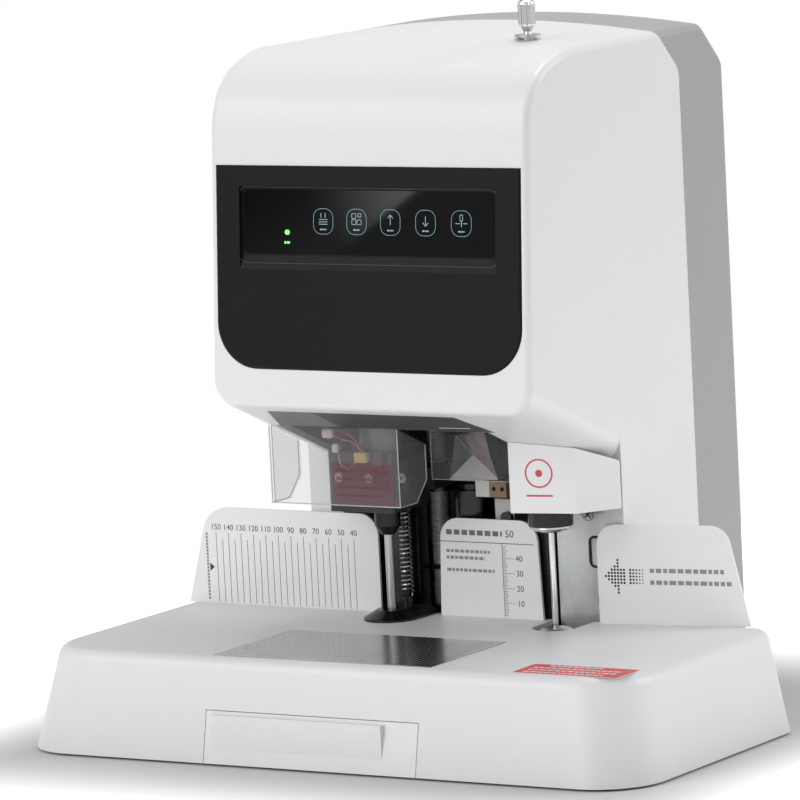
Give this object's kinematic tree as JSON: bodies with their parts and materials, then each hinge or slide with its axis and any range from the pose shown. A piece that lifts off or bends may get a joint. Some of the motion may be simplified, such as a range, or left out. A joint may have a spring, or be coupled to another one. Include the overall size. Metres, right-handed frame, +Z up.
{
  "type": "document riveting machine",
  "caption": "Desk machine that drills bundled sheets on the left and closes a hot plastic rivet through them on the right, with a sloped tray base and a tall head.",
  "frame": {"origin": "middle of the footprint at table height", "axes": "+Z up, +X to the operator's right, -Y towards the operator"},
  "size_m": [0.468, 0.36, 0.479],
  "materials": {
    "white_shell": "fine satin moulding",
    "grey_shell": "satin moulding",
    "fascia_black": "fine matt",
    "touch_panel": "polished dark panel",
    "lamp_green": "clear green lens",
    "board_green": "lacquered board",
    "fence_white": "white powder coat",
    "steel": "brushed",
    "zinc": "bright zinc plating",
    "chrome": "polished",
    "alloy": "machined",
    "dark_alloy": "black anodised",
    "black_metal": "black satin",
    "motor_steel": "rolled can",
    "brass": "turned",
    "rubber": "matt",
    "clear": "clear acrylic",
    "nylon": "natural nylon",
    "drawer_white": "satin moulding",
    "brown_plastic": "moulded",
    "black_plastic": "moulded",
    "pale_sheet": "pale paint"
  },
  "bodies": {
    "machine": {"base_tray": "white_shell", "base_plate": "steel", "rubber_feet": "rubber", "work_plate": "steel", "drawer_runners": "black_plastic", "left_fence": "fence_white", "centre_fence": "fence_white", "right_fence": "fence_white", "housing_front": "white_shell", "housing_rear": "grey_shell", "control_fascia": "fascia_black", "touch_glass": "touch_panel", "status_lamp": "lamp_green", "control_board": "board_green", "lift_motor": "black_metal", "return_spring": "steel", "spring_rod": "chrome", "drill_foot": "black_metal", "cutting_pad": "nylon", "drill_column_guard": "black_metal", "guide_rods": "chrome", "press_motor": "motor_steel", "needle_bush": "zinc", "lower_die": "zinc", "die_heater": "alloy", "rivet_cover": "white_shell", "rivet_station_plate": "zinc", "wiring_duct": "black_plastic", "frame_sides": "zinc", "frame_top": "zinc", "frame_shelf": "zinc", "sensor_post": "black_metal", "terminal_block": "brown_plastic", "sensor_plates": "pale_sheet", "limit_switch": "black_plastic", "drill_shield": "clear", "second_guard": "clear", "power_inlet": "black_plastic", "switch_frame": "black_plastic", "inlet_pins": "brass", "power_supply": "zinc", "plate_screws": "zinc"},
    "drill_carriage": {"drill_head_block": "dark_alloy", "head_clamp": "black_metal", "spindle_motor": "motor_steel", "lift_nut": "brass", "rod_bush": "brass", "head_screws": "zinc"},
    "drill_spindle": {"spindle": "steel", "chuck": "chrome", "drill_bit": "steel"},
    "lift_screw_body": {"lift_screw": "steel"},
    "press_head": {"press_block": "alloy", "press_tube": "steel", "heater_ring": "black_metal"},
    "press_screw_body": {"press_screw": "steel"},
    "guide_needle_body": {"guide_needle": "chrome", "needle_knob": "chrome"},
    "scrap_drawer_body": {"scrap_drawer": "drawer_white"},
    "rocker_body": {"power_rocker": "black_plastic"}
  },
  "joints": [
    {"name": "drill_feed", "type": "slide", "parent": "machine", "child": "drill_carriage", "axis": [0, 0, 1], "range_m": [-0.003, 0.055], "deforming": ["return_spring"]},
    {"name": "drill_spin", "type": "hinge", "parent": "drill_carriage", "child": "drill_spindle", "pos_m": [-0.0445, -0.0062, 0.15], "axis": [0, 0, 1], "continuous": true},
    {"name": "lift_turn", "type": "hinge", "parent": "machine", "child": "lift_screw_body", "pos_m": [-0.0349, 0.044, 0.2], "axis": [0, 0, 1], "range_deg": [-300, 2700]},
    {"name": "press_feed", "type": "slide", "parent": "machine", "child": "press_head", "axis": [0, 0, -1], "range_m": [0, 0.056]},
    {"name": "press_turn", "type": "hinge", "parent": "machine", "child": "press_screw_body", "pos_m": [0.0807, 0.044, 0.2], "axis": [0, 0, 1], "range_deg": [-10, 2700]},
    {"name": "needle_lift", "type": "slide", "parent": "machine", "child": "guide_needle_body", "axis": [0, 0, 1], "range_m": [0, 0.075]},
    {"name": "drawer_slide", "type": "slide", "parent": "machine", "child": "scrap_drawer_body", "axis": [0, -1, 0], "range_m": [0, 0.11]},
    {"name": "power_tilt", "type": "hinge", "parent": "machine", "child": "rocker_body", "pos_m": [0.07, 0.1765, 0.092], "axis": [1, 0, 0], "range_deg": [0, 8]}
  ],
  "couplings": [
    {"joint": "lift_turn", "follows": "drill_feed", "rad_per_m": 785.4},
    {"joint": "press_turn", "follows": "press_feed", "rad_per_m": 785.4}
  ]
}
